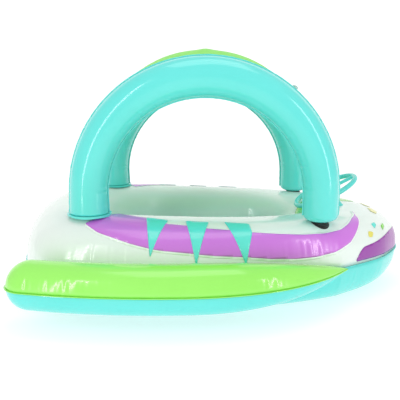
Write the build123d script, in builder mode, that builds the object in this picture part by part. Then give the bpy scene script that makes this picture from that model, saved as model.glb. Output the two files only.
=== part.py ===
"""Inflatable toddler float boat in the shape of a spaceship.

A rounded hull ring with a wide fore deck, a tapering wing tube on each side, two arch tubes
that carry a canopy sheet, and a steering wheel on the fore deck.  The arches are welded to the
hull at the rear and stand on hook-and-loop pads at the front.

Frame: millimetres, +X towards the nose, +Y to port, +Z up.  The origin is on the ground under
the middle of the boat.  SEAM is the height of the flat weld between top and bottom sheets.
"""

from build123d import *
import os
from math import atan2, cos, degrees, radians, sin

os.makedirs("parts", exist_ok=True)

# ---------------------------------------------------------------- driving dimensions
FILM = 0.7  # wall of every inflated skin
WELD_WIDTH = 4.0  # how far a weld flange stands out from its seam
WELD_THICK = 1.4
GAP = 0.3  # air between pieces that part from each other

SEAM = 105.0  # seam plane above the ground
REAR_X = -545.0
NOSE_X = 545.0
NOSE_R = 255.0
HALF_BEAM = 366.0  # half width of the hull's seam outline
BEAM_X = -150.0  # where the hull is widest
CORNER_R = 180.0
CORNER_TURN = 101.0  # direction, from the side arc's centre, where the stern corner begins

DECK_RISE = 127.0  # deck above the seam, at DECK_X
DECK_X = -43.0
DECK_SLOPE = 0.03  # the deck falls this much per millimetre towards the nose
OUTER_ROUND = 80.0
INNER_ROUND = 95.0
BILGE_ROUND = 88.0
WELL_ROUND = 48.0

WELL_HALF = 120.0  # half width of the cockpit
WELL_REAR = -320.0
WELL_FRONT = 200.0
FLOOR_Z = 52.0
FLOOR_THICK = 1.0

WING_R = 60.0
WING_TAIL = 103.5  # directions from the side arc's centre
WING_TAPER = 86.0
WING_TIP = 65.8
WING_POWER = 2.2
WING_CLEAR = 1.5  # between the hull's flange and the wing at each station

ARCH_X = -30.0
ARCH_Y = 232.0
ARCH_Z = SEAM + 187.0
ARCH_R = 299.0
TUBE_R = 48.0

CANOPY_HALF_ANGLE = 34.0
CANOPY_CROWN = 30.0  # how far the sheet bulges above the arches
CANOPY_THICK = 1.5

PAD_R = 22.0
PAD_THICK = 2.5
LOOP_MARGIN = 2.0  # how far the loop patch on the hull stands out past the hook pad
COLLAR_R = 57.0

HULL_VALVE = (-400.0, 150.0)  # on the stern deck, towards port
WING_VALVE_TURN = 99.0  # one of the wing's own stations
WING_VALVE_TILT = 205.0  # direction of the valve round the wing tube, 180 being straight down
ARCH_VALVE_TURN = 50.0  # height of the valve on the arch, up from the front leg
ARCH_VALVE_TILT = 16.0  # leaning inboard of the arch's outer seam

HUB = (327.0, 0.0, 262.0)
WHEEL_TILT = 27.0
RIM_R = 93.0
RIM_TUBE_R = 7.0
HUB_R = 20.0
HUB_HALF = 7.0
SPOKE_R = 5.0
SPOKE_START = 14.0
SPINDLE_R = 5.0
RUNNING = 0.05  # radial clearance of the spindle in the hub

# ---------------------------------------------------------------- hull outline
nose_centre = (NOSE_X - NOSE_R, 0.0)
side_r = ((nose_centre[0] - BEAM_X) ** 2 + HALF_BEAM**2 - NOSE_R**2) / (2 * (HALF_BEAM - NOSE_R))
side_centre = (BEAM_X, HALF_BEAM - side_r)
nose_turn = degrees(atan2(-side_centre[1], nose_centre[0] - BEAM_X))
corner_centre = (
    side_centre[0] + (side_r - CORNER_R) * cos(radians(CORNER_TURN)),
    side_centre[1] + (side_r - CORNER_R) * sin(radians(CORNER_TURN)),
)
corner_limit = REAR_X + CORNER_R
stern_x = (corner_centre[0] ** 2 + corner_centre[1] ** 2 - corner_limit**2) / (
    2 * (corner_centre[0] - corner_limit)
)
stern_r = stern_x - REAR_X
stern_turn = degrees(atan2(corner_centre[1], corner_centre[0] - stern_x))


def finish(builder, label):
    """Name a finished sub-part and write it."""
    builder.part.label = label
    export_step(builder.part, f"parts/{label}.step")


def hull_outline(inset, height):
    """Sketch of the hull's seam outline: nose, sides, stern corners and stern, all tangent arcs."""
    with BuildSketch(Plane.XY.offset(height)) as outline:
        with BuildLine():
            CenterArc(nose_centre, NOSE_R - inset, -nose_turn, 2 * nose_turn)
            CenterArc(side_centre, side_r - inset, nose_turn, CORNER_TURN - nose_turn)
            CenterArc(corner_centre, CORNER_R - inset, CORNER_TURN, stern_turn - CORNER_TURN)
            CenterArc((stern_x, 0), stern_r - inset, stern_turn, 360 - 2 * stern_turn)
            CenterArc(
                (corner_centre[0], -corner_centre[1]),
                CORNER_R - inset,
                -stern_turn,
                stern_turn - CORNER_TURN,
            )
            CenterArc(
                (side_centre[0], -side_centre[1]),
                side_r - inset,
                -CORNER_TURN,
                CORNER_TURN - nose_turn,
            )
        make_face()
    return outline.sketch


def well_outline(inset, height):
    """Sketch of the cockpit opening, which grows as the ring around it shrinks."""
    length = WELL_FRONT - WELL_REAR + 2 * inset
    with BuildSketch(Plane.XY.offset(height)) as outline:
        with Locations(((WELL_FRONT + WELL_REAR) / 2, 0)):
            SlotOverall(length, 2 * (WELL_HALF + inset))
    return outline.sketch


def hull_top(inset, from_z=SEAM):
    """The ring above the seam plane, with its sloping deck and rounded shoulders."""
    deck = Plane(origin=(DECK_X, 0, SEAM + DECK_RISE - inset), z_dir=(DECK_SLOPE, 0, 1))
    with BuildPart() as ring:
        add(hull_outline(inset, from_z))
        extrude(amount=2 * DECK_RISE)
        add(well_outline(inset, from_z))
        extrude(amount=2 * DECK_RISE, mode=Mode.SUBTRACT)
        split(bisect_by=deck, keep=Keep.BOTTOM)
        fillet(ring.faces().sort_by(Axis.Z)[-1].outer_wire().edges(), OUTER_ROUND - inset)
        fillet(ring.faces().sort_by(Axis.Z)[-1].inner_wires()[0].edges(), INNER_ROUND - inset)
    return ring.part


def hull_bottom(inset):
    """The ring below the seam plane, flat where it rests on the ground."""
    with BuildPart() as ring:
        add(hull_outline(inset, SEAM))
        extrude(amount=-(SEAM - inset))
        add(well_outline(inset, SEAM))
        extrude(amount=-(SEAM - inset), mode=Mode.SUBTRACT)
        fillet(ring.faces().sort_by(Axis.Z)[0].outer_wire().edges(), BILGE_ROUND - inset)
        fillet(ring.faces().sort_by(Axis.Z)[0].inner_wires()[0].edges(), WELL_ROUND - inset)
    return ring.part


hull_solid = hull_top(0)


def seam_ring(outer, inner):
    """A flat weld flange, centred on the seam plane, between two outlines."""
    with BuildPart() as ring:
        add(outer)
        extrude(amount=WELD_THICK / 2, both=True)
        add(inner)
        extrude(amount=WELD_THICK / 2, both=True, mode=Mode.SUBTRACT)
    return ring.part


def mirrored(solid):
    """The starboard copy of a port piece."""
    return mirror(solid, about=Plane.XZ, mode=Mode.PRIVATE)


# ---------------------------------------------------------------- hull
with BuildPart() as hull_top_skin:
    add(hull_solid)
    add(hull_top(FILM), mode=Mode.SUBTRACT)
finish(hull_top_skin, "hull_top_skin")

with BuildPart() as hull_bottom_skin:
    add(hull_bottom(0))
    add(hull_bottom(FILM), mode=Mode.SUBTRACT)
finish(hull_bottom_skin, "hull_bottom_skin")

# The flanges lie outside the skins on the outer seam and inside the cockpit on the inner one.
with BuildPart() as hull_outer_weld:
    add(seam_ring(hull_outline(-WELD_WIDTH, SEAM), hull_outline(0, SEAM)))
finish(hull_outer_weld, "hull_outer_weld")

with BuildPart() as hull_inner_weld:
    add(seam_ring(well_outline(0, SEAM), well_outline(-WELD_WIDTH, SEAM)))
finish(hull_inner_weld, "hull_inner_weld")

# The floor is a single sheet, held at its edge where the cockpit wall is still upright.
with BuildPart() as cockpit_floor:
    add(well_outline(0, FLOOR_Z))
    extrude(amount=FLOOR_THICK)
finish(cockpit_floor, "cockpit_floor")


# ---------------------------------------------------------------- wing tubes
WING_BODY = (66.3, 67.3, 69.0, 71.5, 75.0, 79.0, 83.0, 87.0, 91.0, 95.0, 99.0, WING_TAIL)
WING_CAP_STEPS = (30, 55, 75)


def wing_radius(turn):
    """Radius of the wing tube where its spine points in this direction from the side centre."""
    if turn >= WING_TAPER:
        return WING_R
    taper = (WING_TAPER - turn) / (WING_TAPER - WING_TIP)
    return WING_R * (1 - taper**WING_POWER)


def wing_stations():
    """Plane and radius of each section across the port wing, from the tip to the round tail."""
    stations = [(turn, wing_radius(turn), wing_radius(turn)) for turn in WING_BODY]
    for step in WING_CAP_STEPS:
        shift = degrees(WING_R * sin(radians(step)) / (side_r + WING_R))
        stations.append((WING_TAIL + shift, WING_R, WING_R * cos(radians(step))))
    for turn, spine_offset, radius in stations:
        reach = side_r + WELD_WIDTH + WING_CLEAR + spine_offset
        outward = Vector(cos(radians(turn)), sin(radians(turn)), 0)
        origin = Vector(side_centre[0], side_centre[1], SEAM) + outward * reach
        tangent = Vector(-outward.Y, outward.X, 0)
        yield Plane(origin=origin, x_dir=outward, z_dir=tangent), radius


def wing_half(side_of_seam):
    """Half of the port wing's skin: C-shaped sections on one side of the seam plane."""
    with BuildPart() as skin:
        for plane, radius in wing_stations():
            with BuildSketch(plane):
                Circle(radius)
                Circle(radius - FILM, mode=Mode.SUBTRACT)
                with Locations((0, side_of_seam * WING_R)):
                    Rectangle(3 * WING_R, 2 * WING_R, mode=Mode.INTERSECT)
        loft(ruled=True)
    return skin.part


def wing_flange():
    """The weld flange along the outer side of the port wing."""
    with BuildPart() as flange:
        for plane, radius in wing_stations():
            with BuildSketch(plane):
                with Locations((radius + WELD_WIDTH / 2, 0)):
                    Rectangle(WELD_WIDTH, WELD_THICK)
        loft(ruled=True)
    return flange.part


port_wing = {
    "wing_top_skin": wing_half(-1),
    "wing_bottom_skin": wing_half(1),
    "wing_weld": wing_flange(),
}
for piece, solid in port_wing.items():
    with BuildPart() as port_piece:
        add(solid)
    finish(port_piece, f"port_{piece}")
    with BuildPart() as starboard_piece:
        add(mirrored(solid))
    finish(starboard_piece, f"starboard_{piece}")

# ---------------------------------------------------------------- arch tubes
rear_leg_x = ARCH_X - ARCH_R
front_leg_x = ARCH_X + ARCH_R


def deck_height(x):
    """Height of the deck plane above the ground."""
    return SEAM + DECK_RISE - DECK_SLOPE * (x - DECK_X)


collar_top = deck_height(rear_leg_x - TUBE_R) + PAD_THICK
loop_top = deck_height(front_leg_x - TUBE_R) + PAD_THICK
rear_leg_end = collar_top + GAP
hook_bottom = loop_top + GAP
foot_z = hook_bottom + PAD_THICK


def tube_half(x, side_y, height):
    """Half-ring section of an arch tube across one leg, on one side of the arch's plane."""
    with BuildSketch(Plane.XY.offset(height)) as section:
        with Locations((x, ARCH_Y)):
            Circle(TUBE_R)
            Circle(TUBE_R - FILM, mode=Mode.SUBTRACT)
        with Locations((x, ARCH_Y + side_y * TUBE_R)):
            Rectangle(3 * TUBE_R, 2 * TUBE_R, mode=Mode.INTERSECT)
    return section.sketch


def foot_cap(side_y):
    """Half of the disc that closes the front leg."""
    with BuildSketch(Plane.XY.offset(foot_z)) as section:
        with Locations((front_leg_x, ARCH_Y)):
            Circle(TUBE_R)
        with Locations((front_leg_x, ARCH_Y + side_y * TUBE_R)):
            Rectangle(3 * TUBE_R, 2 * TUBE_R, mode=Mode.INTERSECT)
    return section.sketch


def arch_half(side_y):
    """Outboard (+1) or inboard (-1) skin of the port arch, legs included."""
    with BuildPart() as skin:
        add(tube_half(rear_leg_x, side_y, ARCH_Z))
        revolve(axis=Axis((ARCH_X, ARCH_Y, ARCH_Z), (0, 1, 0)), revolution_arc=180)
        add(tube_half(rear_leg_x, side_y, ARCH_Z))
        extrude(amount=-(ARCH_Z - rear_leg_end))
        add(tube_half(front_leg_x, side_y, ARCH_Z))
        extrude(amount=-(ARCH_Z - foot_z))
        add(foot_cap(side_y))
        extrude(amount=FILM)
    return skin.part


def arch_flange():
    """Weld flanges in the plane of the port arch, outside the tube and inside the arch."""
    arch_plane = Plane(origin=(ARCH_X, ARCH_Y, ARCH_Z), x_dir=(1, 0, 0), z_dir=(0, -1, 0))
    leg = ARCH_Z - rear_leg_end
    with BuildPart() as flange:
        for inner_r in (ARCH_R + TUBE_R, ARCH_R - TUBE_R - WELD_WIDTH):
            outer_r = inner_r + WELD_WIDTH
            with BuildSketch(arch_plane):
                Circle(outer_r)
                Circle(inner_r, mode=Mode.SUBTRACT)
                with Locations((0, ARCH_R)):
                    Rectangle(3 * ARCH_R, 2 * ARCH_R, mode=Mode.INTERSECT)
                for side in (-1, 1):
                    with Locations((side * (inner_r + outer_r) / 2, -leg / 2)):
                        Rectangle(WELD_WIDTH, leg)
            extrude(amount=WELD_THICK / 2, both=True)
    return flange.part


def pad(x, radius, low, high):
    """A round pad under a leg."""
    with BuildPart() as disc:
        with BuildSketch(Plane.XY.offset(low)):
            with Locations((x, ARCH_Y)):
                Circle(radius)
        extrude(amount=high - low)
    return disc.part


def pad_on_hull(x, radius, top):
    """A patch welded to the deck, whose underside follows the hull."""
    with BuildPart() as patch:
        add(pad(x, radius, top - 6 * PAD_THICK, top))
        add(hull_solid, mode=Mode.SUBTRACT)
    return patch.part


port_arch = {
    "arch_outboard_skin": arch_half(1),
    "arch_inboard_skin": arch_half(-1),
    "arch_weld": arch_flange(),
    "arch_root_collar": pad_on_hull(rear_leg_x, COLLAR_R, collar_top),
    "hull_loop_pad": pad_on_hull(front_leg_x, PAD_R + LOOP_MARGIN, loop_top),
    "arch_hook_pad": pad(front_leg_x, PAD_R, hook_bottom, foot_z),
}
for piece, solid in port_arch.items():
    with BuildPart() as port_piece:
        add(solid)
    finish(port_piece, f"port_{piece}")
    with BuildPart() as starboard_piece:
        add(mirrored(solid))
    finish(starboard_piece, f"starboard_{piece}")

# ---------------------------------------------------------------- canopy
lean = radians(CANOPY_HALF_ANGLE)
canopy_plane = Plane(
    origin=(ARCH_X, 0, ARCH_Z), x_dir=(0, 1, 0), z_dir=(cos(lean), 0, sin(lean))
)
edge_r = ARCH_R + TUBE_R + GAP
edge_y = ARCH_Y - WELD_THICK
with BuildPart() as canopy:
    with BuildSketch(canopy_plane):
        with BuildLine():
            ThreePointArc((-edge_y, edge_r), (0, edge_r + CANOPY_CROWN), (edge_y, edge_r))
            Line((edge_y, edge_r), (edge_y, edge_r + CANOPY_THICK))
            ThreePointArc(
                (edge_y, edge_r + CANOPY_THICK),
                (0, edge_r + CANOPY_CROWN + CANOPY_THICK),
                (-edge_y, edge_r + CANOPY_THICK),
            )
            Line((-edge_y, edge_r + CANOPY_THICK), (-edge_y, edge_r))
        make_face()
    revolve(axis=Axis((ARCH_X, 0, ARCH_Z), (0, 1, 0)), revolution_arc=2 * CANOPY_HALF_ANGLE)
finish(canopy, "canopy")

# ---------------------------------------------------------------- steering wheel
tilt = radians(WHEEL_TILT)
wheel_plane = Plane(origin=HUB, x_dir=(cos(tilt), 0, sin(tilt)), z_dir=(-sin(tilt), 0, cos(tilt)))
deck_plane = Plane(origin=(DECK_X, 0, SEAM + DECK_RISE), z_dir=(DECK_SLOPE, 0, 1))
BASE_TOP = -HUB_HALF - 1.0
BASE_LENGTH = 75.0
SOCKET_DEPTH = 30.0
CAP_HEIGHT = 5.0
CLIP_THICK = 2.0

with BuildPart() as wheel_base:
    with BuildSketch(wheel_plane.offset(BASE_TOP)):
        Circle(16)
    extrude(amount=-BASE_LENGTH, taper=-14)
    with BuildSketch(wheel_plane.offset(BASE_TOP)):
        Circle(SPINDLE_R)
    extrude(amount=-SOCKET_DEPTH, mode=Mode.SUBTRACT)
    split(bisect_by=deck_plane, keep=Keep.TOP)
finish(wheel_base, "wheel_base")

with BuildPart() as wheel_spindle:
    with BuildSketch(wheel_plane.offset(BASE_TOP - SOCKET_DEPTH)):
        Circle(SPINDLE_R)
    extrude(amount=SOCKET_DEPTH - BASE_TOP + HUB_HALF + CLIP_THICK + 1.5)
finish(wheel_spindle, "wheel_spindle")

with BuildPart() as wheel_clip:
    with BuildSketch(wheel_plane.offset(HUB_HALF + 0.5)):
        Circle(SPINDLE_R + 4)
        Circle(SPINDLE_R, mode=Mode.SUBTRACT)
    extrude(amount=CLIP_THICK)
finish(wheel_clip, "wheel_clip")

with BuildPart() as steering_wheel:
    with Locations(wheel_plane * Rot(0, 0, 50)):
        Torus(RIM_R, RIM_TUBE_R)
    with BuildSketch(wheel_plane.offset(-HUB_HALF)):
        Circle(HUB_R)
    extrude(amount=2 * HUB_HALF)
    for turn in (0, 120, 240):
        outward = wheel_plane.x_dir.rotate(Axis((0, 0, 0), wheel_plane.z_dir), turn)
        spoke_start = Plane(origin=wheel_plane.origin + outward * SPOKE_START, z_dir=outward)
        with BuildSketch(spoke_start):
            Circle(SPOKE_R)
        extrude(amount=RIM_R - SPOKE_START - 1)
    with BuildSketch(wheel_plane.offset(-HUB_HALF)):
        Circle(SPINDLE_R + RUNNING)
    extrude(amount=2 * HUB_HALF, mode=Mode.SUBTRACT)
finish(steering_wheel, "steering_wheel")

with BuildPart() as wheel_hub_cap:
    with BuildSketch(wheel_plane.offset(HUB_HALF)):
        Circle(HUB_R - 2)
    extrude(amount=CAP_HEIGHT)
    with BuildSketch(wheel_plane.offset(HUB_HALF)):
        Circle(SPINDLE_R + 6)
    extrude(amount=CAP_HEIGHT - 1, mode=Mode.SUBTRACT)
finish(wheel_hub_cap, "wheel_hub_cap")

# ---------------------------------------------------------------- valves
VALVE_FLANGE_R = 11.0
STEM_R = 6.0
STEM_BORE_R = 4.0
STEM_TOP = 9.0
HINGE_REACH = 8.2


def valve_body(seat):
    """Flange, stem with a blind bore, and the lug that carries the stopper's strap."""
    with BuildPart() as body:
        with BuildSketch(seat):
            Circle(VALVE_FLANGE_R)
        extrude(amount=1.2)
        with BuildSketch(seat):
            Circle(STEM_R)
        extrude(amount=STEM_TOP)
        with BuildSketch(seat.offset(5)):
            with Locations((-HINGE_REACH + 1, 0)):
                Rectangle(4, 4)
        extrude(amount=2.5)
        with BuildSketch(seat.offset(1.2)):
            Circle(STEM_BORE_R)
        extrude(amount=STEM_TOP, mode=Mode.SUBTRACT)
    return body.part


def valve_stopper(seat):
    """Cap with a short plug, and the strap that it turns on."""
    with BuildPart() as stopper:
        with BuildSketch(seat.offset(STEM_TOP + GAP)):
            Circle(STEM_R + 0.5)
            with Locations((-HINGE_REACH / 2, 0)):
                Rectangle(HINGE_REACH, 4)
        extrude(amount=2)
        with BuildSketch(seat.offset(STEM_TOP + GAP)):
            Circle(STEM_BORE_R - 0.5)
        extrude(amount=-2.5)
    return stopper.part


def valve_seat(origin, outward, away_from_strap):
    """Plane that a valve stands on; its strap lies on the side away from away_from_strap."""
    return Plane(origin=origin, x_dir=away_from_strap, z_dir=outward)


hull_seat = valve_seat(
    (HULL_VALVE[0], HULL_VALVE[1], deck_height(HULL_VALVE[0]) + 0.02),
    (DECK_SLOPE, 0, 1),
    (1, 0, -DECK_SLOPE),
)
turn = radians(WING_VALVE_TURN)
down = radians(WING_VALVE_TILT)
spine_r = side_r + WELD_WIDTH + WING_CLEAR + WING_R
wing_out = Vector(cos(turn), sin(turn), 0)
wing_spine = Vector(side_centre[0], side_centre[1], SEAM) + wing_out * spine_r
wing_normal = wing_out * sin(down) + Vector(0, 0, 1) * cos(down)
wing_seat = valve_seat(
    wing_spine + wing_normal * (WING_R + 0.2), wing_normal, Vector(wing_out.Y, -wing_out.X, 0)
)
rise = radians(ARCH_VALVE_TURN)
aside = radians(ARCH_VALVE_TILT)
arch_out = Vector(cos(rise), 0, sin(rise))
arch_spine = Vector(ARCH_X, ARCH_Y, ARCH_Z) + arch_out * ARCH_R
arch_normal = arch_out * cos(aside) + Vector(0, -1, 0) * sin(aside)
arch_seat = valve_seat(
    arch_spine + arch_normal * (TUBE_R + 0.2), arch_normal, Vector(sin(rise), 0, -cos(rise))
)

with BuildPart() as hull_valve:
    add(valve_body(hull_seat))
finish(hull_valve, "hull_valve")
with BuildPart() as hull_valve_stopper:
    add(valve_stopper(hull_seat))
finish(hull_valve_stopper, "hull_valve_stopper")

for place, seat in (("wing", wing_seat), ("arch", arch_seat)):
    for piece, solid in (("valve", valve_body(seat)), ("valve_stopper", valve_stopper(seat))):
        with BuildPart() as port_piece:
            add(solid)
        finish(port_piece, f"port_{place}_{piece}")
        with BuildPart() as starboard_piece:
            add(mirrored(solid))
        finish(starboard_piece, f"starboard_{place}_{piece}")

# Each stopper turns on its strap's end, and the sunshade on the rear edge of its legs' roots.
for name, seat in (("hull", hull_seat), ("wing", wing_seat), ("arch", arch_seat)):
    pivot = seat.origin - seat.x_dir * HINGE_REACH + seat.z_dir * (STEM_TOP + GAP)
    print(name, "stopper pivot", pivot, "axis", seat.y_dir * -1)
print("sunshade pivot", rear_leg_x - TUBE_R - WELD_WIDTH - 1, rear_leg_end)
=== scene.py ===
"""Looks of an inflatable toddler float boat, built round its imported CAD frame.

Metres, in the CAD frame: +X nose, +Y port, +Z up.  The inflated skins are rebuilt here as
smooth welded film with gathers along their seams; plain moulded pieces keep their CAD shape.
"""
from math import atan2, cos, degrees, pi, radians, sin

import bpy
import numpy as np
from bpy.props import FloatProperty, PointerProperty, StringProperty
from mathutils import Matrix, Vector
from mathutils.geometry import delaunay_2d_cdt


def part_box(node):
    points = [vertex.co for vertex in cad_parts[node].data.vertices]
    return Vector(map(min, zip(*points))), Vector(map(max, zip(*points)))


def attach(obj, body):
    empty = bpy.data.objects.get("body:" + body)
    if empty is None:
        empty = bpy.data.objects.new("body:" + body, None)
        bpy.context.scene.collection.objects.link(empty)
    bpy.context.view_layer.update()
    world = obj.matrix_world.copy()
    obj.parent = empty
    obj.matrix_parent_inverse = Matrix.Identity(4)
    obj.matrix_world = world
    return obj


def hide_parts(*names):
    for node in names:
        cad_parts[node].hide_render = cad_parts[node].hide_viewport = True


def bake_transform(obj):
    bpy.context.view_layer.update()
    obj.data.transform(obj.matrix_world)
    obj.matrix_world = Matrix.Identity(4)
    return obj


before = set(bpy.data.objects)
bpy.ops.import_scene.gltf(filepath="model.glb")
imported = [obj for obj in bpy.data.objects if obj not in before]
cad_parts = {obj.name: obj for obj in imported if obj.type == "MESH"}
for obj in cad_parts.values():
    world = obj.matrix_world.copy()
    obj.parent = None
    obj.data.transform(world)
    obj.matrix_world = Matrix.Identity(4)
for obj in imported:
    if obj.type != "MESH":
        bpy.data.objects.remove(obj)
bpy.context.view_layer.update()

bl_info = {
    "name": "Inflatable toddler boat",
    "version": (1, 0, 0),
    "blender": (4, 5, 0),
    "location": "View3D > Sidebar > Boat",
    "description": "Builds the skins, prints and finishes of an inflatable toddler boat",
    "category": "Object",
}

# ---------------------------------------------------------------- sizes taken from the frame
HULL_LOW, HULL_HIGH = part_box("hull_bottom_skin")
SEAM = HULL_HIGH.z
WELL_LOW, WELL_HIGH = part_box("cockpit_floor")
WELL_HALF = WELL_HIGH.y
WELL_FRONT = WELL_HIGH.x - WELL_HALF  # centre of the cockpit's front arc
WELL_REAR = WELL_LOW.x + WELL_HALF
HALF_BEAM = HULL_HIGH.y
ARCH_LOW, ARCH_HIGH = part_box("port_arch_inboard_skin")
ARCH_Y_PLANE = ARCH_HIGH.y  # the arch's own plane, where its two skins meet
TUBE_R = ARCH_HIGH.y - ARCH_LOW.y
ARCH_X = (ARCH_LOW.x + ARCH_HIGH.x) / 2
ARCH_R = (ARCH_HIGH.x - ARCH_LOW.x) / 2 - TUBE_R
ARCH_Z = ARCH_HIGH.z - ARCH_R - TUBE_R
ROOT_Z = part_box("port_arch_root_collar")[1].z
WING_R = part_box("port_wing_top_skin")[1].z - SEAM

# ---------------------------------------------------------------- shape of the hull in plan
NOSE_R = 0.255
BEAM_X = -0.150  # where the hull is widest
CORNER_R = 0.180
CORNER_TURN = 101.0  # direction in degrees where the side's arc meets the stern corner's
NOSE_CX = HULL_HIGH.x - NOSE_R
SIDE_R = ((NOSE_CX - BEAM_X) ** 2 + HALF_BEAM**2 - NOSE_R**2) / (2 * (HALF_BEAM - NOSE_R))
SIDE_CY = HALF_BEAM - SIDE_R
NOSE_TURN = degrees(atan2(-SIDE_CY, NOSE_CX - BEAM_X))
# The blown-up film draws the nose and the stern corners in: share of the width kept, along X.
DRAWN_X = (-0.545, -0.47, -0.38, 0.32, 0.406, 0.465, 0.51, 0.545)
DRAWN_WIDTH = (0.88, 0.96, 1, 1, 0.90, 0.83, 0.75, 0.72)
STERN_DRAW = 0.009
NOSE_DRAW = 0.009
DECK_RISE = 0.127  # of the deck over the seam, at DECK_X
DECK_X = -0.043
DECK_SLOPE = 0.03
WELD = 0.004  # width of every flat weld


def arc(cx, cy, radius, start, end, count=240):
    """Points on an arc between two directions in degrees."""
    turn = np.radians(np.linspace(start, end, count))
    return np.stack([cx + radius * np.cos(turn), cy + radius * np.sin(turn)], 1)


def half_outline():
    """Port half of the seam outline, from the nose tip to the middle of the stern."""
    corner = radians(CORNER_TURN)
    corner_x = BEAM_X + (SIDE_R - CORNER_R) * cos(corner)
    corner_y = SIDE_CY + (SIDE_R - CORNER_R) * sin(corner)
    limit = HULL_LOW.x + CORNER_R
    stern_x = (corner_x**2 + corner_y**2 - limit**2) / (2 * (corner_x - limit))
    stern_turn = degrees(atan2(corner_y, corner_x - stern_x))
    return np.concatenate([
        arc(NOSE_CX, 0, NOSE_R, 0, NOSE_TURN),
        arc(BEAM_X, SIDE_CY, SIDE_R, NOSE_TURN, CORNER_TURN)[1:],
        arc(corner_x, corner_y, CORNER_R, CORNER_TURN, stern_turn)[1:],
        arc(stern_x, 0, stern_x - HULL_LOW.x, stern_turn, 180)[1:],
    ])


def hull_rails():
    """Matched points on the hull's seam and on the cockpit's edge, nose to nose round port."""
    outline = half_outline()
    outer, inner = [], []
    for centre_x, low, high in ((WELL_FRONT, 0, 90), (WELL_REAR, 90, 180)):
        turn = np.arctan2(outline[:, 1], outline[:, 0] - centre_x)
        reach = np.hypot(outline[:, 0] - centre_x, outline[:, 1])
        rays = np.radians(np.linspace(low, high, 300))
        far = np.interp(rays, turn, reach)
        ray = np.stack([np.cos(rays), np.sin(rays)], 1)
        outer.append(np.array([centre_x, 0]) + ray * far[:, None])
        inner.append(np.array([centre_x, 0]) + ray * WELL_HALF)
    side_x = np.linspace(WELL_FRONT, WELL_REAR, 300)[1:-1]
    side_y = np.interp(-side_x, -outline[:, 0], outline[:, 1])
    outer.insert(1, np.stack([side_x, side_y], 1))
    inner.insert(1, np.stack([side_x, np.full_like(side_x, WELL_HALF)], 1))
    outer, inner = np.concatenate(outer), np.concatenate(inner)
    mirror = np.array([1, -1])
    outer = np.concatenate([outer, outer[-2::-1] * mirror])
    inner = np.concatenate([inner, inner[-2::-1] * mirror])
    length = np.concatenate([[0], np.cumsum(np.hypot(*np.diff(outer, axis=0).T))])
    return outer, inner, length


OUTER, INNER, ALONG = hull_rails()
SEAM_LENGTH = ALONG[-1]


def step(value, low, high):
    """Smooth rise from 0 at low to 1 at high."""
    t = np.clip((value - low) / (high - low), 0, 1)
    return t * t * (3 - 2 * t)


def gathers(along, seed):
    """Uneven folds of film that has been welded flat and then blown up."""
    lengths = (0.0123, 0.0171, 0.0262, 0.041)
    shares = (0.30, 0.36, 0.40, 0.34)
    total = np.zeros_like(along)
    for k, (wave, share) in enumerate(zip(lengths, shares)):
        total += share * np.sin(2 * pi * along / wave + 1.7 * seed + 2.3 * k)
    patchy = 0.45 + 0.55 * np.sin(2 * pi * along / 0.23 + seed) * np.sin(2 * pi * along / 0.151 + k)
    return total * patchy


def superellipse(phi, power):
    """Unit section: 1 to -1 across, 0 to 1 up, for phi from 0 to pi."""
    across = np.sign(np.cos(phi)) * np.abs(np.cos(phi)) ** (2 / power)
    up = np.abs(np.sin(phi)) ** (2 / power)
    return across, up


def hull_points(along, phi, lift=0.0, below=False):
    """Points of the hull's film.  along is round the seam from the nose, phi from the seam in."""
    along = np.mod(along, SEAM_LENGTH)
    outer = np.stack([np.interp(along, ALONG, OUTER[:, k]) for k in (0, 1)], -1)
    inner = np.stack([np.interp(along, ALONG, INNER[:, k]) for k in (0, 1)], -1)
    middle, half = (outer + inner) / 2, (outer - inner) / 2
    x = middle[..., 0]
    if below:
        power, rise = 2.5, -SEAM
    else:
        power = 2.2 + 0.75 * step(x, -0.05, 0.2) * (1 - 0.8 * step(x, 0.3, 0.42))
        rise = DECK_RISE - DECK_SLOPE * (x - DECK_X)
    across, up = superellipse(phi, power)
    plan = middle + half * across[..., None]
    narrow = np.interp(plan[..., 0], DRAWN_X, DRAWN_WIDTH)
    draw = (STERN_DRAW * step(-plan[..., 0], 0.40, 0.545)
            - NOSE_DRAW * step(plan[..., 0], 0.42, 0.545))
    plan = np.stack([plan[..., 0] + draw, plan[..., 1] * narrow], -1)
    point = np.concatenate([plan, (SEAM + rise * up)[..., None]], -1)
    width = np.linalg.norm(half, axis=-1, keepdims=True)
    out = np.concatenate([half / width * np.cos(phi)[..., None], np.sin(phi)[..., None]], -1)
    if below:
        out[..., 2] *= -1
    edge = np.sin(phi) * (np.exp(-(phi / 0.42) ** 2) + np.exp(-((pi - phi) / 0.30) ** 2))
    crease = 0.0042 * gathers(along, 3.0 if below else 1.0) * edge
    return point + out * (crease + lift)[..., None]


# ---------------------------------------------------------------- mesh helpers
def add_mesh(name, vertices, faces, material, thickness=0.0):
    """A smooth mesh object from plain vertices and faces."""
    mesh = bpy.data.meshes.new(name)
    mesh.from_pydata([tuple(v) for v in vertices], [], [tuple(f) for f in faces])
    mesh.validate()
    mesh.polygons.foreach_set("use_smooth", [True] * len(mesh.polygons))
    mesh.materials.append(material)
    piece = bpy.data.objects.new(name, mesh)
    bpy.context.scene.collection.objects.link(piece)
    if thickness:
        film = piece.modifiers.new("film", "SOLIDIFY")
        film.thickness = thickness
        film.offset = -1
    return piece


def grid_faces(rows, columns, closed=False, flip=False):
    """Quads of a rows by columns grid; closed joins the last row to the first."""
    faces = []
    for i in range(rows if closed else rows - 1):
        following = (i + 1) % rows
        for j in range(columns - 1):
            quad = (i * columns + j, following * columns + j,
                    following * columns + j + 1, i * columns + j + 1)
            faces.append(quad[::-1] if flip else quad)
    return faces


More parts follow.
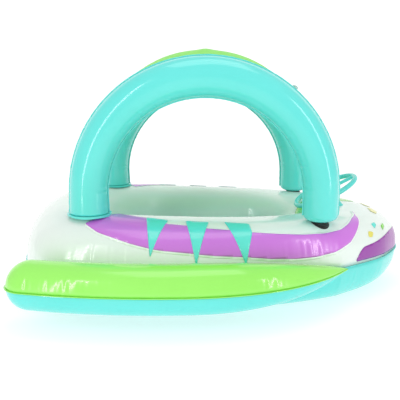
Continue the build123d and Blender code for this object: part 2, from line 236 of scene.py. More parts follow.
def add_grid(name, points, material, closed=False, flip=False, thickness=0.0):
    """A mesh object from a grid of points."""
    rows, columns = points.shape[:2]
    return add_mesh(name, points.reshape(-1, 3), grid_faces(rows, columns, closed, flip),
                    material, thickness)


def settle(piece, body, slot, *nodes):
    """Ride on a body and stand for CAD nodes, hiding them; the slot is not used."""
    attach(piece, body)
    if nodes:
        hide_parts(*nodes)
    return piece


# ---------------------------------------------------------------- materials
def to_linear(code):
    """Linear colour of an sRGB hex code."""
    values = [int(code[k:k + 2], 16) / 255 for k in (1, 3, 5)]
    linear = [v / 12.92 if v <= 0.04045 else ((v + 0.055) / 1.055) ** 2.4 for v in values]
    return (*linear, 1.0)


def node(tree, kind, links=(), **settings):
    """Add a node with its settings and feed its inputs from (input, node, output) links."""
    made = tree.nodes.new(kind)
    for key, value in settings.items():
        if hasattr(made, key):
            setattr(made, key, value)
        else:
            made.inputs[key.replace("_", " ")].default_value = value
    for where, source, output in links:
        tree.links.new(source.outputs[output], made.inputs[where])
    return made


def new_material(name):
    """An empty node material with its output."""
    material = bpy.data.materials.new(name)
    material.use_nodes = True
    material.node_tree.nodes.clear()
    return material, material.node_tree


def vinyl_film(name, light, deep, roughness=0.17, wall_shade="", coat=0.35):
    """Calendered PVC film, about 0.3 mm thick, blown tight: glossy, faintly uneven, with colour
    that deepens where the film has been stretched. The wall colour is painted shade and painted
    light through the teal film, laid on the cockpit's inner side where the wall attribute marks it."""
    material, tree = new_material(name)
    place = node(tree, "ShaderNodeTexCoord")
    broad = node(tree, "ShaderNodeTexNoise", [("Vector", place, "Object")],
                 Scale=1 / 0.16, Detail=2.0, Roughness=0.5)
    tint = node(tree, "ShaderNodeMix", [("Factor", broad, "Fac")], data_type="RGBA")
    tint.inputs[6].default_value = to_linear(light)
    tint.inputs[7].default_value = to_linear(deep)
    smear = node(tree, "ShaderNodeTexNoise", [("Vector", place, "Object")],
                 Scale=1 / 0.045, Detail=3.0, Roughness=0.6)
    gloss = node(tree, "ShaderNodeMapRange", [("Value", smear, "Fac")],
                 To_Min=roughness - 0.04, To_Max=roughness + 0.05)
    slack = node(tree, "ShaderNodeTexNoise", [("Vector", place, "Object")],
                 Scale=1 / 0.06, Detail=1.5, Roughness=0.4)
    grain = node(tree, "ShaderNodeTexNoise", [("Vector", place, "Object")],
                 Scale=1 / 0.0025, Detail=1.0)
    ripple = node(tree, "ShaderNodeBump", [("Height", slack, "Fac")], Strength=0.25, Distance=0.004)
    skin = node(tree, "ShaderNodeBump", [("Height", grain, "Fac"), ("Normal", ripple, "Normal")],
                Strength=0.03, Distance=0.0004)
    shader = node(tree, "ShaderNodeBsdfPrincipled",
                  [("Roughness", gloss, "Result"), ("Normal", skin, "Normal")])
    # Painted shade: where the wall attribute marks the cockpit's inner side, the film's colour is
    # mixed towards a darker, greener tint that stands for shade there and for light through the
    # teal film.
    if wall_shade:
        depth = node(tree, "ShaderNodeAttribute", attribute_name="wall_shade")
        through = node(tree, "ShaderNodeMix", [("Factor", depth, "Fac"), (6, tint, 2)],
                       data_type="RGBA")
        through.inputs[7].default_value = to_linear(wall_shade)
        tint = through
    tree.links.new(tint.outputs[2], shader.inputs["Base Color"])
    shader.inputs["IOR"].default_value = 1.53
    shader.inputs["Coat Weight"].default_value = coat
    shader.inputs["Coat Roughness"].default_value = 0.08
    node(tree, "ShaderNodeOutputMaterial", [("Surface", shader, "BSDF")])
    return material


def matt_film(name, light, deep):
    """PVC film embossed on its face: the fine emboss breaks up the gloss, so the colour stays
    full even where the sheet is seen edge on."""
    material = vinyl_film(name, light, deep, roughness=0.42, coat=0.0)
    shader = material.node_tree.nodes["Principled BSDF"]
    shader.inputs["Specular IOR Level"].default_value = 0.2
    return material


def printed_ink(name, light, deep):
    """Flexible ink printed on the film: the film's own gloss, with a slightly mottled lay-down."""
    return vinyl_film(name, light, deep, roughness=0.2)


def clear_vinyl(name):
    """Soft moulded PVC of the valves: cloudy and translucent, so it reads paler than the film."""
    material, tree = new_material(name)
    place = node(tree, "ShaderNodeTexCoord")
    haze = node(tree, "ShaderNodeTexNoise", [("Vector", place, "Object")], Scale=1 / 0.006)
    gloss = node(tree, "ShaderNodeMapRange", [("Value", haze, "Fac")], To_Min=0.2, To_Max=0.34)
    shader = node(tree, "ShaderNodeBsdfPrincipled", [("Roughness", gloss, "Result")])
    shader.inputs["Base Color"].default_value = to_linear("#D8F6F0")
    shader.inputs["Transmission Weight"].default_value = 0.45
    shader.inputs["IOR"].default_value = 1.52
    node(tree, "ShaderNodeOutputMaterial", [("Surface", shader, "BSDF")])
    return material


def moulded_plastic(name, light, deep):
    """Blow-moulded polyethylene: satin gloss with a fine moulded grain, about 0.8 mm."""
    material, tree = new_material(name)
    place = node(tree, "ShaderNodeTexCoord")
    cloud = node(tree, "ShaderNodeTexNoise", [("Vector", place, "Object")], Scale=1 / 0.03)
    tint = node(tree, "ShaderNodeMix", [("Factor", cloud, "Fac")], data_type="RGBA")
    tint.inputs[6].default_value = to_linear(light)
    tint.inputs[7].default_value = to_linear(deep)
    grain = node(tree, "ShaderNodeTexNoise", [("Vector", place, "Object")], Scale=1 / 0.0008)
    skin = node(tree, "ShaderNodeBump", [("Height", grain, "Fac")], Strength=0.05, Distance=0.0003)
    shader = node(tree, "ShaderNodeBsdfPrincipled", [("Normal", skin, "Normal")], Roughness=0.24)
    tree.links.new(tint.outputs[2], shader.inputs["Base Color"])
    shader.inputs["IOR"].default_value = 1.51
    node(tree, "ShaderNodeOutputMaterial", [("Surface", shader, "BSDF")])
    return material


def hook_tape(name):
    """Nylon hook-and-loop tape: matt black pile in rows about 1.5 mm apart."""
    material, tree = new_material(name)
    place = node(tree, "ShaderNodeTexCoord")
    rows = node(tree, "ShaderNodeTexVoronoi", [("Vector", place, "Object")], Scale=1 / 0.0015)
    pile = node(tree, "ShaderNodeBump", [("Height", rows, "Distance")],
                Strength=0.8, Distance=0.001)
    shader = node(tree, "ShaderNodeBsdfPrincipled", [("Normal", pile, "Normal")], Roughness=0.9)
    shader.inputs["Base Color"].default_value = to_linear("#101413")
    shader.inputs["Sheen Weight"].default_value = 0.3
    node(tree, "ShaderNodeOutputMaterial", [("Surface", shader, "BSDF")])
    return material


FINISHES = {}


def finish_of(key):
    """The boat's finishes, each made once from the panel's colours."""
    if key not in FINISHES:
        colours = bpy.context.scene.boat_colours
        makers = {
            "teal": lambda: vinyl_film("teal_pvc_film", colours.teal, colours.teal_deep),
            "white": lambda: vinyl_film("white_pvc_film", colours.white, colours.white_deep, 0.2,
                                        colours.wall_shade),
            "matt_lime": lambda: matt_film("lime_embossed_pvc_film", "#84E848", "#78DE3C"),
            "lime": lambda: vinyl_film("lime_pvc_film", colours.lime, colours.lime_deep),
            "purple": lambda: printed_ink("purple_ink", colours.purple, colours.purple_deep),
            "teal_ink": lambda: printed_ink("teal_ink", "#64EADC", "#58E0D2"),
            "violet": lambda: printed_ink("violet_ink", "#9C34AA", "#8E2C9C"),
            "yellow": lambda: printed_ink("yellow_ink", "#E9E26A", "#E2D95A"),
            "green_ink": lambda: printed_ink("green_ink", "#86DE52", "#78D244"),
            "pale_ink": lambda: printed_ink("pale_ink", "#F6FFF8", "#F0FBF3"),
            "clear": lambda: clear_vinyl("clear_pvc_moulding"),
            "plastic": lambda: moulded_plastic("teal_polyethylene", "#62E0D8", "#55D5CD"),
            "white_plastic": lambda: moulded_plastic("white_polyethylene", "#EDF3F0", "#E2EAE6"),
            "tape": lambda: hook_tape("nylon_hook_tape"),
        }
        FINISHES[key] = makers[key]()
    return FINISHES[key]


def refinish(key, *nodes):
    """Give CAD nodes that keep their shape a worked finish."""
    for name in nodes:
        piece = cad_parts[name]
        for place in piece.material_slots:
            place.material = finish_of(key)
        if not piece.material_slots:
            piece.data.materials.append(finish_of(key))


# ---------------------------------------------------------------- hull
FILM = 0.0006  # thickness of an inflated skin's film
WELD_FILM = 0.0012  # two films welded flat
SIDES = (("port", 1), ("starboard", -1))


def seam_strip(inside, outward, ripple):
    """Points of a flat weld: from just under the film to the weld's trimmed edge."""
    rows = [inside - 0.001 * outward, inside + (WELD + ripple)[:, None] * outward]
    return np.stack(rows, 1)


def deck_height(x, y):
    """Height of the hull's deck at a place in plan."""
    bpy.context.view_layer.update()
    hit, place, _, _ = bpy.data.objects["hull_top"].ray_cast(Vector((x, y, 1)), Vector((0, 0, -1)))
    if not hit:
        raise RuntimeError(f"no deck at {x:.3f}, {y:.3f}")
    return place.z


class BOAT_OT_hull(bpy.types.Operator):
    """Blow up the hull: white film above the seam, teal film below it, and the seam's weld"""
    bl_idname = "boat.hull"
    bl_label = "Hull"

    def execute(self, context):
        along = np.linspace(0, SEAM_LENGTH, 760, endpoint=False)[:, None]
        phi = np.linspace(0, pi, 49)[None, :]
        along, phi = np.broadcast_arrays(along, phi)
        top = add_grid("hull_top", hull_points(along, phi), finish_of("white"), True, False, FILM)
        # Painted shade: this share grows towards the inner seam and darkens the film down the
        # cockpit's inner side.
        wall_shade = top.data.attributes.new("wall_shade", "FLOAT", "POINT")
        wall_shade.data.foreach_set("value", (0.9 * step(phi, 1.75, 2.5)).ravel())
        settle(top, "hull", "white_vinyl", "hull_top_skin")
        bottom = add_grid("hull_bottom", hull_points(along, phi, below=True), finish_of("teal"),
                          True, True, FILM)
        settle(bottom, "hull", "teal_vinyl", "hull_bottom_skin")
        edge = hull_points(along[:, 0], phi[:, 0])
        run = np.roll(edge, -1, 0) - np.roll(edge, 1, 0)
        out = np.stack([run[:, 1], -run[:, 0], np.zeros(len(run))], 1)
        out /= np.linalg.norm(out, axis=1)[:, None]
        strip = seam_strip(edge, out, 0.0005 * gathers(along[:, 0], 2.0))
        weld = add_grid("hull_seam_weld", strip, finish_of("teal"), True, True, WELD_FILM)
        settle(weld, "hull", "teal_vinyl", "hull_outer_weld")
        return {"FINISHED"}


class BOAT_OT_cockpit_floor(bpy.types.Operator):
    """Hang the cockpit's floor sheet a little slack between the hull's inner walls"""
    bl_idname = "boat.cockpit_floor"
    bl_label = "Cockpit floor"

    def execute(self, context):
        half = WELL_HALF + 0.008
        turn = np.linspace(0, pi, 40)
        x = np.concatenate([WELL_REAR - half * np.cos(turn[:20] / 2 * 40 / 39),
                            np.linspace(WELL_REAR, WELL_FRONT, 40),
                            WELL_FRONT + half * np.sin(turn[1:20] / 2 * 40 / 39)])
        x = np.sort(x)
        reach = np.clip(np.maximum(WELL_REAR - x, x - WELL_FRONT), 0, half * 0.9999)
        width = np.sqrt(half**2 - reach**2)
        across = np.linspace(-1, 1, 33)[None, :]
        y = width[:, None] * across
        slack = (width[:, None] / half) ** 2 * (1 - across**2)
        z = WELL_HIGH.z - 0.006 * slack + 0.0006 * np.sin(60 * x)[:, None] * slack
        points = np.stack(np.broadcast_arrays(x[:, None], y, z), -1)
        floor = add_grid("cockpit_floor_sheet", points, finish_of("teal"), False, False, FILM)
        settle(floor, "hull", "teal_vinyl", "cockpit_floor")
        return {"FINISHED"}


# ---------------------------------------------------------------- wings
# Directions in degrees about the centre of the hull's side arc.
WING_TAIL = 103.5
WING_TAPER = 86.0  # forward of here the wing tapers
WING_TIP = 65.8
WING_POWER = 2.2
WING_GAP = 0.0055  # from the hull's seam, which leaves its weld free


def wing_frame(rows=240, cap_rows=16):
    """Centres, outward directions and radii of a port wing's sections, tip to rounded tail."""
    turn = WING_TAIL - (WING_TAIL - WING_TIP - 0.04) * np.linspace(1, 0, rows)
    taper = np.clip((WING_TAPER - turn) / (WING_TAPER - WING_TIP), 0, 1) ** WING_POWER
    radius = WING_R * (1 - taper)
    ray = np.stack([np.cos(np.radians(turn)), np.sin(np.radians(turn))], 1)
    centre = np.array([BEAM_X, SIDE_CY]) + ray * (SIDE_R + WING_GAP + radius)[:, None]
    heading = np.array([-ray[-1, 1], ray[-1, 0]])
    lean = np.radians(np.linspace(0, 89.5, cap_rows))[1:]
    centre = np.concatenate([centre, centre[-1] + WING_R * np.sin(lean)[:, None] * heading])
    radius = np.concatenate([radius, WING_R * np.cos(lean)])
    ray = np.concatenate([ray, np.repeat(ray[-1:], len(lean), 0)])
    return centre, ray, radius, heading, lean


class BOAT_OT_wings(bpy.types.Operator):
    """Blow up the two side wings: lime film above, teal below, with a welded outer seam"""
    bl_idname = "boat.wings"
    bl_label = "Wings"

    def execute(self, context):
        centre, ray, radius, heading, lean = wing_frame()
        run = np.concatenate([[0], np.cumsum(np.hypot(*np.diff(centre, axis=0).T))])
        phi = np.linspace(0, pi, 33)
        puckered = 1 + 1.3 * np.exp(-((run[-1] - run) / 0.09) ** 2) + np.exp(-(run / 0.25) ** 2)
        depth = 0.0022 * puckered * np.clip(radius / WING_R, 0, 1)
        edge = np.sin(phi) * (np.exp(-(phi / 0.5) ** 2) + 0.7 * np.exp(-((pi - phi) / 0.4) ** 2))
        for side, sign in SIDES:
            for part, up, key, slot in (("top", 1, "lime", "lime_vinyl"),
                                        ("bottom", -1, "teal", "teal_vinyl")):
                fold = (depth * gathers(run, sign + 2.0 * up))[:, None] * edge
                reach = radius[:, None] + fold
                plan = centre[:, None] + ray[:, None] * (reach * np.cos(phi))[..., None]
                z = SEAM + up * reach * np.sin(phi)
                points = np.concatenate([plan, z[..., None]], -1) * (1, sign, 1)
                wing = add_grid(f"{side}_wing_{part}", points, finish_of(key), False,
                                up * sign < 0, FILM)
                settle(wing, "hull", slot, f"{side}_wing_{part}_skin")
            body = len(radius) - len(lean)
            edge_points = centre[:body] + ray[:body] * radius[:body, None]
            out = ray[:body]
            bend = np.radians(np.linspace(3, 150, 50))
            round_out = (np.cos(bend)[:, None] * ray[body - 1] + np.sin(bend)[:, None] * heading)
            edge_points = np.concatenate([edge_points, centre[body - 1] + WING_R * round_out])
            out = np.concatenate([out, round_out])
            flat = np.zeros((len(out), 1))
            edge_points = np.concatenate([edge_points, flat + SEAM], 1)
            out = np.concatenate([out, flat], 1)
            length = np.arange(len(out)) * 0.0031
            strip = seam_strip(edge_points, out, 0.0007 * gathers(length, 4.0)) * (1, sign, 1)
            weld = add_grid(f"{side}_wing_seam_weld", strip, finish_of("lime"), False, sign > 0,
                            WELD_FILM)
            settle(weld, "hull", "lime_vinyl", f"{side}_wing_weld")
        return {"FINISHED"}


# ---------------------------------------------------------------- sunshade
def arch_path(distance):
    """Centre (x, z) and outward direction of an arch at distances from its rear root."""
    rear, bend = ARCH_Z - ROOT_Z, pi * ARCH_R
    turn = pi - np.clip((distance - rear) / ARCH_R, 0, pi)
    out = np.stack([np.cos(turn), np.sin(turn)], 1)
    x, z = ARCH_X + ARCH_R * out[:, 0], ARCH_Z + ARCH_R * out[:, 1]
    z = z - np.clip(rear - distance, 0, None) - np.clip(distance - rear - bend, 0, None)
    return np.stack([x, z], 1), out


FOOT_X = ARCH_X + ARCH_R
FOOT_OVER_DECK = 0.0042  # room for the two pads under a front foot
PAD_R = 0.0215
TO_FOOT = (ARCH_Z - ROOT_Z) + pi * ARCH_R  # along an arch to the top of its front leg
TUBE_TOP = 0.0500  # the tube's radius at the top of an arch


def arch_sections(length, rows=300):
    """Distances along an arch and the tube's radius there, closed at both ends."""
    lean = np.radians(np.linspace(89, 0, 14))
    rear_rise, foot_rise = 0.0012, 0.018
    start = 0.0004 + rear_rise * (1 - np.sin(lean))
    end = length - foot_rise * (1 - np.sin(lean))[::-1]
    middle = np.linspace(start[-1], end[0], rows)[1:-1]
    distance = np.concatenate([start, middle, end])
    radius = np.interp(distance / length, (0, 0.05, 0.25, 0.5, 0.75, 0.95, 1),
                       (0.0492, 0.0475, 0.0485, TUBE_TOP, 0.0475, 0.0440, 0.0440))
    close = np.ones_like(distance)
    close[:len(lean)] = np.cos(lean) ** 0.6
    close[-len(lean):] = (np.cos(lean) ** 0.75)[::-1]
    return distance, radius * close


class BOAT_OT_arches(bpy.types.Operator):
    """Blow up the sunshade's two arches: teal film welded in the arch's own plane"""
    bl_idname = "boat.arches"
    bl_label = "Arches"

    def execute(self, context):
        length = TO_FOOT + ARCH_Z - deck_height(FOOT_X, -ARCH_Y_PLANE) - FOOT_OVER_DECK
        distance, radius = arch_sections(length)
        centre, out = arch_path(distance)
        phi = np.linspace(0, pi, 33)
        inner_fold = np.exp(-((pi - phi) / 0.55) ** 2) * np.sin(phi)
        outer_fold = 0.35 * np.exp(-(phi / 0.35) ** 2) * np.sin(phi)
        ends = step(distance, 0, 0.03) * step(length - distance, 0, 0.03)
        leg = 1 + 0.9 * (np.exp(-(distance / 0.12) ** 2)
                         + np.exp(-((length - distance) / 0.12) ** 2))
        for side, sign in SIDES:
            for facing, lateral in (("outboard", sign), ("inboard", -sign)):
                folds = 0.0042 * (leg * ends * gathers(distance, lateral + 3.0 * sign))[:, None]
                reach = radius[:, None] + folds * (inner_fold + outer_fold)
                flat = centre[:, None] + out[:, None] * (reach * np.cos(phi))[..., None]
                y = sign * ARCH_Y_PLANE + lateral * reach * np.sin(phi)
                points = np.stack([flat[..., 0], y, flat[..., 1]], -1)
                skin = add_grid(f"{side}_arch_{facing}", points, finish_of("teal"), False,
                                lateral > 0, FILM)
                self.cross_root(skin, sign, f"{side}_arch_{facing}_skin")
            strips = []
            for way, seed in ((1, 5.0), (-1, 6.0)):
                rim = centre + way * out * radius[:, None]
                edge = rim + way * out * (WELD + 0.0006 * gathers(distance, seed))[:, None]
                rim = rim - way * out * 0.001
                strip = np.stack([rim, edge], 1)[12:-12]
                y = np.full(strip.shape[:2], sign * ARCH_Y_PLANE)
                strips.append(np.stack([strip[..., 0], y, strip[..., 1]], -1))
            rows = len(strips[0])
            faces = grid_faces(rows, 2)
            faces += [tuple(v + 2 * rows for v in face) for face in grid_faces(rows, 2, flip=True)]
            weld = add_mesh(f"{side}_arch_seam_weld", np.concatenate(strips).reshape(-1, 3), faces,
                            finish_of("teal"), WELD_FILM)
            weld.modifiers["film"].offset = 0
            self.cross_root(weld, sign, f"{side}_arch_weld")
        return {"FINISHED"}

    def cross_root(self, piece, sign, node_name):
        """Hide the CAD node the piece stands for and bake the piece's transform into its mesh."""
        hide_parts(node_name)
        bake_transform(piece)


class BOAT_OT_pads(bpy.types.Operator):
    """Lay the hook pads under the front feet on the loop pads on the deck"""
    bl_idname = "boat.pads"
    bl_label = "Hook and loop pads"

    def execute(self, context):
        turn = np.linspace(0, 2 * pi, 40, endpoint=False)
        for side, sign in SIDES:
            for part, body, lift, reach in (("hull_loop", "hull", 0.0016, PAD_R + 0.002),
                                            ("arch_hook", "sunshade", 0.0038, PAD_R)):
                points = [(FOOT_X, sign * ARCH_Y_PLANE)]
                for ring in np.linspace(0.2, 1, 5):
                    points += [(FOOT_X + ring * reach * cos(t),
                                sign * ARCH_Y_PLANE + ring * reach * sin(t)) for t in turn]
                points = [(x, y, deck_height(x, y) + lift) for x, y in points]
                count = len(turn)
                faces = [(0, 1 + k, 1 + (k + 1) % count) for k in range(count)]
                for ring in range(4):
                    a, b = 1 + ring * count, 1 + (ring + 1) * count
                    faces += [(a + k, b + k, b + (k + 1) % count, a + (k + 1) % count)
                              for k in range(count)]
                pad = add_mesh(f"{side}_{part}_tape", points, faces, finish_of("tape"), 0.0015)
                settle(pad, body, "hook_and_loop", f"{side}_{part}_pad")
        return {"FINISHED"}


class BOAT_OT_canopy(bpy.types.Operator):
    """Stretch the lime sunshade sheet between the tops of the two arches"""
    bl_idname = "boat.canopy"
    bl_label = "Sunshade sheet"

    def execute(self, context):
        sizes = context.scene.boat_sizes
        half_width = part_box("canopy")[1].y
        spread = sizes.reach
        turn = np.linspace(-spread, spread, 90)[:, None]
        across = np.linspace(-1, 1, 61)[None, :]
        crown = sizes.crown * (1 - np.abs(across) ** 2.2)
        crown = crown * (1 - 0.65 * (np.abs(turn) / spread) ** 3)
        crease = 0.0035 * np.exp(-((turn + 0.02 * across) / 0.05) ** 2) * (1 - across**2)
        pull = 0.0012 * np.sin(34 * turn) * np.abs(across) ** 4
        reach = ARCH_R + TUBE_TOP + 0.0018 + crown + crease + pull
        y = half_width * across
        points = np.stack(np.broadcast_arrays(ARCH_X + reach * np.sin(turn), y,
                                              ARCH_Z + reach * np.cos(turn)), -1)
        sheet = add_grid("sunshade_sheet", points, finish_of("matt_lime"), False, False, 0.0009)
        settle(sheet, "sunshade", "lime_vinyl", "canopy")
        return {"FINISHED"}


# ---------------------------------------------------------------- prints
# Outlines as (mm round the seam from the nose, degrees in from the seam).
SWOOSH = ((1071, 64), (1003, 100), (890, 85), (835, 70), (782, 67), (731, 62), (672, 59),
          (621, 54), (553, 49), (476, 44), (409, 43), (351, 47), (311, 55), (259, 68), (160, 81),
          (181, 79), (221, 71), (256, 58), (286, 46), (315, 33), (340, 23), (394, 14), (451, 11),
          (502, 11), (574, 14), (653, 20), (766, 27), (856, 31), (878, 33), (923, 38), (973, 45),
          (1017, 51))
TRIANGLES = (((889, 86), (831, 79), (873, 22)), ((789, 78), (729, 76), (761, 13)),
             ((691, 77), (627, 73), (620, 53), (638, 9)))
NOSE_PATCH = ((325, 1), (305, 10), (294, 13), (245, 16), (181, 22), (140, 25), (70, 25),
              (2, 21), (2, 1), (150, 1), (231, 1))
CONFETTI = (("yellow", ((28, 69), (17, 62), (61, 57), (103, 58), (92, 66))),
            ("teal_ink", ((227, 46), (204, 48), (206, 42), (230, 36))),
            ("green_ink", ((186, 38), (158, 41), (163, 35), (193, 29))),
            ("yellow", ((262, 35), (244, 31), (256, 23), (271, 25))))
INWARD = 0.095  # metres of film for a radian of the hull's section, about its mean


def resample(outline, pitch):
    """A closed outline with points no further apart than the pitch."""
    outline = np.asarray(outline, float)
    points = []
    for a, b in zip(outline, np.roll(outline, -1, 0)):
        count = max(1, int(np.ceil(np.linalg.norm(b - a) / pitch)))
        points.extend(a + (b - a) * k / count for k in range(count))
    return np.array(points)


def soften(outline, times):
    """Round the corners of a closed outline by cutting them."""
    for _ in range(times):
        following = np.roll(outline, -1, 0)
        outline = np.stack([0.8 * outline + 0.2 * following,
                            0.2 * outline + 0.8 * following], 1).reshape(-1, 2)
    return outline


def grow(outline, margin):
    """Move a closed outline outward."""
    run = np.roll(outline, -1, 0) - np.roll(outline, 1, 0)
    out = np.stack([run[:, 1], -run[:, 0]], 1)
    out /= np.linalg.norm(out, axis=1)[:, None] + 1e-9
    turn = np.sum(outline[:, 0] * np.roll(outline[:, 1], -1) - outline[:, 1]
                  * np.roll(outline[:, 0], -1))
    return outline + out * margin * np.sign(turn)


def fill(outline, pitch):
    """Triangles inside a closed flat outline, with points on a grid of the pitch."""
    low, high = outline.min(0), outline.max(0)
    xs, ys = (np.arange(low[k] + pitch / 2, high[k], pitch) for k in (0, 1))
    grid = [Vector((x, y)) for x in xs for y in ys]
    edge = [Vector(point) for point in outline]
    points, _, faces, *_ = delaunay_2d_cdt(edge + grid, [], [list(range(len(edge)))], 1, 1e-6)
    used = sorted({v for face in faces for v in face})
    number = {v: k for k, v in enumerate(used)}
    return np.array([points[v] for v in used]), [[number[v] for v in face] for face in faces]


def hull_print(name, outline, key, lift, sign, margin=0.0):
    """Ink on the hull's film inside an outline, on the port side or mirrored to starboard."""
    flat = np.asarray(outline, float) * (0.001, radians(1) * INWARD)
    flat = soften(resample(flat, 0.02), 2)
    if margin:
        flat = grow(flat, margin)
    flat, faces = fill(resample(flat, 0.005), 0.005)
    along = flat[:, 0] if sign > 0 else SEAM_LENGTH - flat[:, 0]
    points = hull_points(along, np.clip(flat[:, 1] / INWARD, 0.005, pi), lift=lift)
    normal = np.cross(points[faces[0][1]] - points[faces[0][0]],
                      points[faces[0][2]] - points[faces[0][0]])
    if normal[2] < 0:
        faces = [face[::-1] for face in faces]
    ink = add_mesh(name, points, faces, finish_of(key), 0.0003)
    return settle(ink, "hull", "white_vinyl")


class BOAT_OT_prints(bpy.types.Operator):
    """Print the coloured panels on the hull's film, the long panel on its own pale keyline"""
    bl_idname = "boat.prints"
    bl_label = "Prints"

    def execute(self, context):
        keyline = context.scene.boat_sizes.keyline
        for side, sign in SIDES:
            hull_print(f"{side}_swoosh_edge", SWOOSH, "pale_ink", 0.0007, sign, keyline)
            hull_print(f"{side}_swoosh", SWOOSH, "purple", 0.0012, sign)
            for k, outline in enumerate(TRIANGLES):
                hull_print(f"{side}_triangle_{k}", outline, "teal_ink", 0.0017, sign)
            hull_print(f"{side}_nose_patch", NOSE_PATCH, "violet", 0.0010, sign)
            for k, (key, outline) in enumerate(CONFETTI):
                hull_print(f"{side}_confetti_{k}", outline, key, 0.0010, sign)
        self.deck_patch()
        return {"FINISHED"}

    def deck_patch(self):
        """A lime patch on the foredeck round the wheel."""
        corners = ((0.236, -0.066), (0.264, -0.066), (0.300, -0.010), (0.340, 0.052),
                   (0.432, 0.058), (0.425, 0.100), (0.360, 0.125), (0.290, 0.100), (0.240, 0.020))
        flat, faces = fill(resample(soften(np.array(corners), 3), 0.005), 0.005)
        points = np.array([(x, y, deck_height(x, y) + 0.0006) for x, y in flat])
        a, b, c = points[faces[0]]
        if np.cross(b - a, c - a)[2] < 0:
            faces = [face[::-1] for face in faces]
        ink = add_mesh("foredeck_patch", points, faces, finish_of("green_ink"), 0.0003)
        settle(ink, "hull", "white_vinyl")


# ---------------------------------------------------------------- moulded pieces and stage
class BOAT_OT_fittings(bpy.types.Operator):
    """Finish the wheel, valves, stoppers, collars and inner weld"""
    bl_idname = "boat.fittings"
    bl_label = "Fittings"

    def execute(self, context):
        refinish("plastic", "steering_wheel", "wheel_base", "wheel_hub_cap")
        refinish("white_plastic", "wheel_spindle", "wheel_clip")
        refinish("white", "hull_inner_weld")
        refinish("clear", "hull_valve", "hull_valve_stopper")
        for side, _ in SIDES:
            refinish("teal", f"{side}_arch_root_collar")
            for part in ("arch", "wing"):
                refinish("clear", f"{side}_{part}_valve", f"{side}_{part}_valve_stopper")
        return {"FINISHED"}


def area_light(name, place, target, size, power):
    """A soft rectangular light aimed at a point."""
    lamp = bpy.data.lights.new(name, "AREA")
    lamp.shape = "RECTANGLE"
    lamp.size, lamp.size_y = size
    lamp.energy = power
    light = bpy.data.objects.new(name, lamp)
    light.location = place
    light.rotation_euler = (Vector(target) - Vector(place)).to_track_quat("-Z", "Y").to_euler()
    bpy.context.scene.collection.objects.link(light)


CAMERA_PLACE = (-0.043, -1.780, 0.576)
CAMERA_TILT = 79.1  # degrees up from straight down


class BOAT_OT_stage(bpy.types.Operator):
    """Set the white floor, the soft lights and the camera"""
    bl_idname = "boat.stage"
    bl_label = "Stage"

    def execute(self, context):
        scene = context.scene
        sizes = scene.boat_sizes
        material, tree = new_material("white_paper_backdrop")
        shader = node(tree, "ShaderNodeBsdfPrincipled", Roughness=0.9)
        shader.inputs["Base Color"].default_value = to_linear("#CCCCCC")
        shader.inputs["Specular IOR Level"].default_value = 0.0
        shader.inputs["Emission Color"].default_value = (1, 1, 1, 1)
        shader.inputs["Emission Strength"].default_value = 0.58
        node(tree, "ShaderNodeOutputMaterial", [("Surface", shader, "BSDF")])
        corners = [(-8, -8, 0), (8, -8, 0), (8, 8, 0), (-8, 8, 0)]
        add_mesh("paper_floor", corners, [(0, 1, 2, 3)], material)
        corners = [(-8, 5, -1), (8, 5, -1), (8, 5, 6), (-8, 5, 6)]
        add_mesh("paper_wall", corners, [(3, 2, 1, 0)], material)
        world = bpy.data.worlds.new("white_room")
        world.use_nodes = True
        world.node_tree.nodes["Background"].inputs["Color"].default_value = (1, 1, 1, 1)
        world.node_tree.nodes["Background"].inputs["Strength"].default_value = sizes.room
        scene.world = world
        # A soft box overhead, and two tall strips for the long highlights down the tubes.
        area_light("overhead", (0.1, -0.3, 2.4), (0, 0, 0.2), (1.6, 1.2), 9 * sizes.lamps)
        area_light("right_strip", (2.0, -1.63, 0.9), (0.27, -0.28, 0.4), (0.13, 2.0),
                   10 * sizes.lamps)
        area_light("left_strip", (-1.26, -1.86, 0.9), (0.27, -0.28, 0.4), (0.13, 2.0),
                   9 * sizes.lamps)
        scene.view_settings.view_transform = "Standard"
        lens = bpy.data.cameras.new("camera")
        lens.lens = 55
        lens.sensor_width = 36
        camera = bpy.data.objects.new("camera", lens)
        camera.location = CAMERA_PLACE
        camera.rotation_euler = (radians(CAMERA_TILT), 0, 0)
        scene.collection.objects.link(camera)
        scene.camera = camera
        return {"FINISHED"}


# ---------------------------------------------------------------- settings and panel
def colour(name, description, default):
    """A user's colour, kept as an sRGB hex code."""
    return StringProperty(name=name, description=description, default=default)


class BoatColours(bpy.types.PropertyGroup):
    """Film and ink colours, as sRGB hex codes"""
    teal: colour("Teal film", "Arches and undersides", "#6CE8E2")
    teal_deep: colour("Teal film, stretched", "Teal where the film is thinner", "#5AE0D8")
    white: colour("White film", "Top of the hull", "#EEF7F1")
    white_deep: colour("White film, stretched", "White where the film is thinner", "#E4F0E9")
    # Painted shade and painted light through the teal film, for the cockpit's inner side.
    wall_shade: colour("Cockpit wall", "White film with the teal side showing through", "#CCE6DA")
    lime: colour("Lime film", "Wing tops and sunshade sheet", "#A2F86C")
    lime_deep: colour("Lime film, stretched", "Lime where the film is thinner", "#98F060")
    purple: colour("Purple ink", "Long panel on the hull's side", "#D67EE6")
    purple_deep: colour("Purple ink, thin", "Purple where the ink is thinner", "#CA72DA")


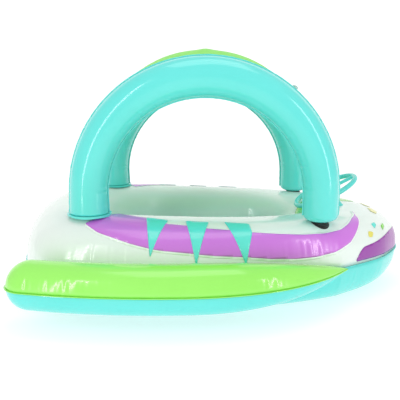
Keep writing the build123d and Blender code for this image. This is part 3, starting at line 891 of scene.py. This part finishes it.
class BoatSizes(bpy.types.PropertyGroup):
    """Sizes and light levels a user may change"""
    crown: FloatProperty(name="Sunshade crown", description="Rise of the sheet between the arches",
                         default=0.022, unit="LENGTH")
    reach: FloatProperty(name="Sunshade reach", description="Arc of the sheet each side of the top",
                         default=radians(31.5), unit="ROTATION")
    keyline: FloatProperty(name="Keyline", description="Pale edge round the long printed panel",
                           default=0.004, unit="LENGTH")
    room: FloatProperty(name="Room light", description="Strength of the white surroundings",
                        default=0.68)
    lamps: FloatProperty(name="Lamps", description="Strength of the studio lamps", default=1.0)


STEPS = (BOAT_OT_hull, BOAT_OT_cockpit_floor, BOAT_OT_wings, BOAT_OT_arches, BOAT_OT_pads,
         BOAT_OT_canopy, BOAT_OT_prints, BOAT_OT_fittings, BOAT_OT_stage)


class BOAT_PT_panel(bpy.types.Panel):
    """Builds the boat piece by piece"""
    bl_idname = "BOAT_PT_panel"
    bl_label = "Inflatable boat"
    bl_space_type = "VIEW_3D"
    bl_region_type = "UI"
    bl_category = "Boat"

    def draw(self, context):
        for group in (context.scene.boat_sizes, context.scene.boat_colours):
            for key in group.__annotations__:
                self.layout.prop(group, key)
        for operator in STEPS:
            self.layout.operator(operator.bl_idname)


CLASSES = (BoatColours, BoatSizes, *STEPS, BOAT_PT_panel)


def register():
    """Register the classes and hang the settings on the scene."""
    for made in CLASSES:
        bpy.utils.register_class(made)
    bpy.types.Scene.boat_colours = PointerProperty(type=BoatColours)
    bpy.types.Scene.boat_sizes = PointerProperty(type=BoatSizes)


def unregister():
    """Undo register."""
    del bpy.types.Scene.boat_sizes
    del bpy.types.Scene.boat_colours
    for made in reversed(CLASSES):
        bpy.utils.unregister_class(made)


def main():
    """Build the boat in order."""
    register()
    bpy.ops.boat.hull()
    bpy.ops.boat.cockpit_floor()
    bpy.ops.boat.wings()
    bpy.ops.boat.arches()
    bpy.ops.boat.pads()
    bpy.ops.boat.canopy()
    bpy.ops.boat.prints()
    bpy.ops.boat.fittings()
    bpy.ops.boat.stage()
    bpy.context.view_layer.update()


if __name__ == "__main__":
    main()
